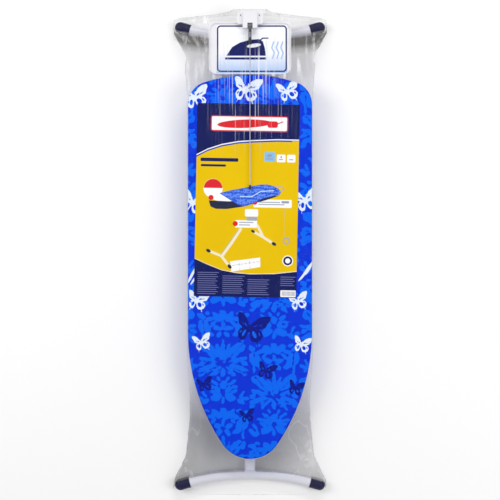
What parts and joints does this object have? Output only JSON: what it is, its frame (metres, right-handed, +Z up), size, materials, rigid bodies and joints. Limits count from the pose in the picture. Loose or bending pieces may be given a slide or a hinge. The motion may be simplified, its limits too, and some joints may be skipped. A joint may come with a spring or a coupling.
{
  "type": "folding ironing board",
  "caption": "Light ironing board with scissor legs folded flat under it, an iron rest and a cord holder at the tail, in its insert card and clear film.",
  "frame": {"origin": "centre of the folded board's footprint, on the floor under its feet", "axes": "+X across the board, +Y along it towards the tail with the iron rest, +Z up through the ironing face"},
  "size_m": [0.489, 1.52, 0.1075],
  "materials": {
    "foam": "moulded expanded polypropylene beads",
    "felt": "needled felt",
    "cover_fabric": "printed cotton",
    "elastic": "woven elastic",
    "zinc_steel": "zinc plated",
    "bright_steel": "drawn, satin",
    "spring_steel": "nickel plated",
    "white_paint": "powder coat, satin",
    "white_plastic": "satin",
    "grey_plastic": "matte",
    "navy_plastic": "satin",
    "black_plastic": "satin",
    "sticker_print": "laminated print",
    "card_print": "laminated print",
    "clear_film": "gloss"
  },
  "bodies": {
    "board": {"board_core": "foam", "felt_pad": "felt", "cover": "cover_fabric", "hem_elastic": "elastic", "spine_plate": "zinc_steel", "spine_screws": "zinc_steel", "bracket_screws": "zinc_steel", "rear_bracket": "zinc_steel", "rear_pivot_pin": "zinc_steel", "guide_rod": "bright_steel", "guide_rod_brackets": "grey_plastic", "bar_bearings": "grey_plastic", "return_spring": "spring_steel", "rest_tray": "white_plastic", "rest_sticker": "sticker_print", "rest_arms": "zinc_steel", "rest_screws": "zinc_steel", "cord_holder_clamp": "white_plastic", "clamp_screw": "white_plastic", "swivel_pin": "bright_steel", "insert_card": "card_print", "film_wrap": "clear_film"},
    "inner_leg": {"inner_leg_tube": "white_paint", "inner_leg_plug": "grey_plastic", "inner_leg_bush": "grey_plastic", "cross_bush": "grey_plastic", "nose_foot_bar": "white_paint", "nose_foot_caps": "navy_plastic"},
    "outer_leg": {"outer_leg_tubes": "white_paint", "outer_leg_plugs": "grey_plastic", "outer_leg_bushes": "grey_plastic", "cross_pin": "zinc_steel", "tail_foot_bar": "white_paint", "tail_foot_caps": "navy_plastic"},
    "slider": {"slider_carriage": "navy_plastic", "slider_bushes": "grey_plastic", "slider_pins": "zinc_steel", "clamp_spring": "spring_steel"},
    "clamp": {"clamp_plate": "zinc_steel"},
    "release": {"release_bar": "bright_steel", "release_lever": "navy_plastic"},
    "cam": {"release_cam": "grey_plastic"},
    "cord_holder": {"holder_swivel": "grey_plastic", "holder_coil": "spring_steel", "holder_ferrule": "black_plastic", "holder_rod": "bright_steel", "cord_clip": "black_plastic"}
  },
  "joints": [
    {"name": "leg_fold", "type": "hinge", "parent": "board", "child": "inner_leg", "pos_m": [0, 0.3735, 0.018], "axis": [1, 0, 0], "range_deg": [0, 58]},
    {"name": "cross_pivot", "type": "hinge", "parent": "inner_leg", "child": "outer_leg", "pos_m": [0, -0.0065, 0.018], "axis": [1, 0, 0], "range_deg": [-116, 0]},
    {"name": "slider_pivot", "type": "hinge", "parent": "outer_leg", "child": "slider", "pos_m": [0, -0.3865, 0.018], "axis": [1, 0, 0], "range_deg": [0, 58]},
    {"name": "release_turn", "type": "hinge", "parent": "board", "child": "release", "pos_m": [0.044, 0.064, 0.042], "axis": [0, -1, 0], "range_deg": [0, 8], "stiffness_Nm_per_rad": 0.6, "springref_deg": -8.59},
    {"name": "cam_turn", "type": "hinge", "parent": "slider", "child": "cam", "pos_m": [0.044, -0.4265, 0.042], "axis": [0, -1, 0], "range_deg": [0, 8]},
    {"name": "clamp_tilt", "type": "hinge", "parent": "slider", "child": "clamp", "pos_m": [0, -0.4185, 0.0336], "axis": [-1, 0, 0], "range_deg": [0, 8], "deforming": ["clamp_spring"]},
    {"name": "cord_holder_swing", "type": "hinge", "parent": "board", "child": "cord_holder", "pos_m": [0, 0.712, 0.096], "axis": [-1, 0, 0], "range_deg": [0, 90]}
  ],
  "couplings": [
    {"joint": "cross_pivot", "follows": "leg_fold", "ratio": -2},
    {"joint": "slider_pivot", "follows": "leg_fold", "ratio": 1},
    {"joint": "cam_turn", "follows": "release_turn", "ratio": 1},
    {"joint": "clamp_tilt", "follows": "release_turn", "ratio": 1}
  ]
}
